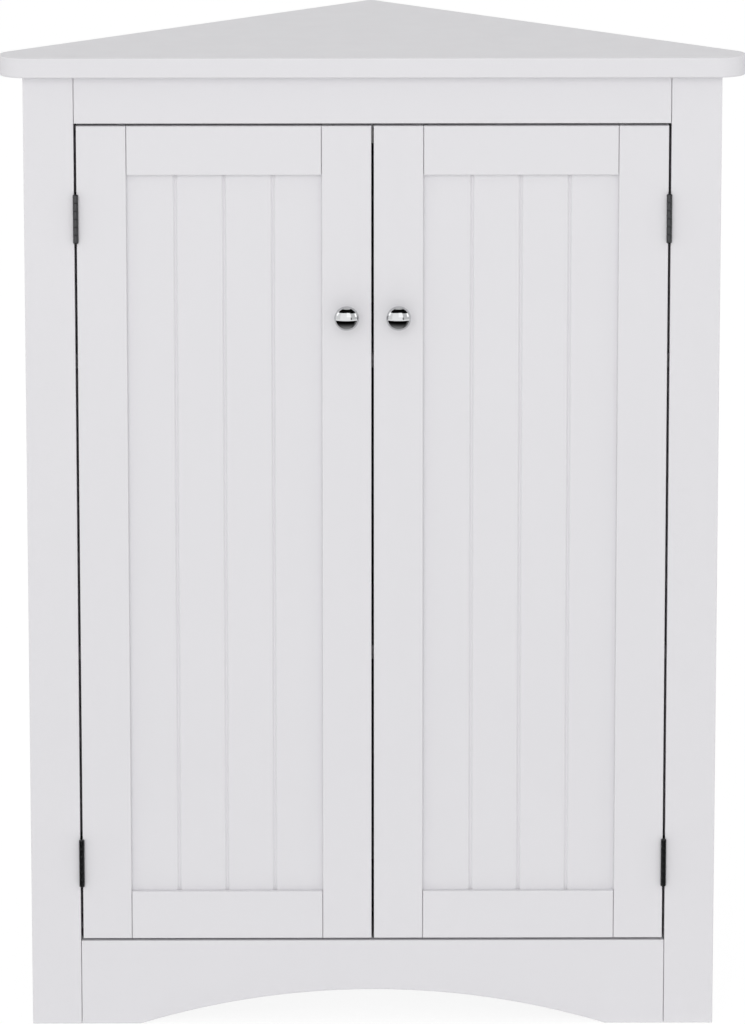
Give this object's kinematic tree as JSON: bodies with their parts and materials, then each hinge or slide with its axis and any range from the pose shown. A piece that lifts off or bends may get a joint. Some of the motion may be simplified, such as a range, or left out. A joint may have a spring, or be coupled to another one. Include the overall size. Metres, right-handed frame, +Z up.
{
  "type": "corner cupboard",
  "caption": "White painted triangular floor cupboard for a room corner, with inset beadboard doors, round knobs, butt hinges, shelves and an arched plinth rail.",
  "frame": {"origin": "on the floor, under the middle of the bounding box", "axes": "+Z up; the flat front with the doors faces -Y; the square back corner points to +Y; +X is to the right as seen from the front"},
  "size_m": [0.5954, 0.3402, 0.8],
  "materials": {
    "painted_board": "smooth white satin paint on fibreboard",
    "polished_chrome": "polished",
    "dark_hinge_metal": "dark nickel plate, satin",
    "plated_steel": "bright zinc plate",
    "white_plastic": "moulded, fine matt"
  },
  "bodies": {
    "carcase": {"top_board": "painted_board", "left_post": "painted_board", "right_post": "painted_board", "top_rail": "painted_board", "bottom_rail": "painted_board", "floor_panel": "painted_board", "back_post": "painted_board", "left_side_panel": "painted_board", "right_side_panel": "painted_board", "left_top_cleat": "painted_board", "right_top_cleat": "painted_board", "left_floor_cleat": "painted_board", "right_floor_cleat": "painted_board", "lower_shelf": "painted_board", "upper_shelf": "painted_board", "lower_shelf_peg_left_front": "plated_steel", "lower_shelf_peg_left_rear": "plated_steel", "lower_shelf_peg_right_front": "plated_steel", "lower_shelf_peg_right_rear": "plated_steel", "upper_shelf_peg_left_front": "plated_steel", "upper_shelf_peg_left_rear": "plated_steel", "upper_shelf_peg_right_front": "plated_steel", "upper_shelf_peg_right_rear": "plated_steel", "catch_block": "painted_board", "magnetic_catch": "white_plastic", "left_upper_hinge_frame_leaf": "dark_hinge_metal", "left_upper_hinge_pin": "dark_hinge_metal", "left_lower_hinge_frame_leaf": "dark_hinge_metal", "left_lower_hinge_pin": "dark_hinge_metal", "right_upper_hinge_frame_leaf": "dark_hinge_metal", "right_upper_hinge_pin": "dark_hinge_metal", "right_lower_hinge_frame_leaf": "dark_hinge_metal", "right_lower_hinge_pin": "dark_hinge_metal"},
    "left_door": {"left_door_hinge_stile": "painted_board", "left_door_meeting_stile": "painted_board", "left_door_top_rail": "painted_board", "left_door_bottom_rail": "painted_board", "left_door_panel": "painted_board", "left_knob": "polished_chrome", "left_knob_screw": "plated_steel", "left_strike_plate": "plated_steel", "left_upper_hinge_door_leaf": "dark_hinge_metal", "left_lower_hinge_door_leaf": "dark_hinge_metal"},
    "right_door": {"right_door_hinge_stile": "painted_board", "right_door_meeting_stile": "painted_board", "right_door_top_rail": "painted_board", "right_door_bottom_rail": "painted_board", "right_door_panel": "painted_board", "right_knob": "polished_chrome", "right_knob_screw": "plated_steel", "right_strike_plate": "plated_steel", "right_upper_hinge_door_leaf": "dark_hinge_metal", "right_lower_hinge_door_leaf": "dark_hinge_metal"}
  },
  "joints": [
    {"name": "left_door_hinge", "type": "hinge", "parent": "carcase", "child": "left_door", "pos_m": [-0.2369, -0.15055, 0.4], "axis": [0, 0, -1], "range_deg": [0, 175]},
    {"name": "right_door_hinge", "type": "hinge", "parent": "carcase", "child": "right_door", "pos_m": [0.2369, -0.15055, 0.4], "axis": [0, 0, 1], "range_deg": [0, 175]}
  ]
}
